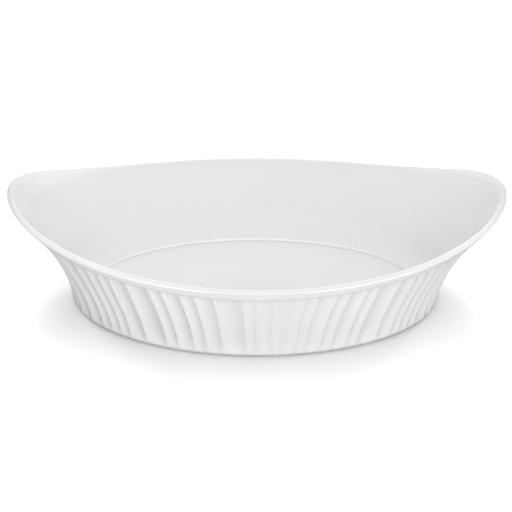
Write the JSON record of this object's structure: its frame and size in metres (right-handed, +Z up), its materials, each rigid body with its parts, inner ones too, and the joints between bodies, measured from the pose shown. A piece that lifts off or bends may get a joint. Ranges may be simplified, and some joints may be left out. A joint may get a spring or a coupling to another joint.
{
  "type": "gratin dish",
  "caption": "Oval fluted gratin dish with a flat floor, flared wall, smooth rim band and two raised ends that serve as grips, for baking and serving.",
  "frame": {"origin": "centre of the oval foot, on the table", "axes": "+X along the dish towards one raised end, +Y across the dish, +Z up"},
  "size_m": [0.3384, 0.1984, 0.0819],
  "materials": {
    "white_glaze": "glossy clear glaze on white porcelain",
    "bare_foot": "matte unglazed porcelain"
  },
  "bodies": {
    "root": {"floor": "white_glaze", "foot_ring": "bare_foot", "fluted_wall": "white_glaze", "rim_band": "white_glaze"}
  },
  "joints": []
}
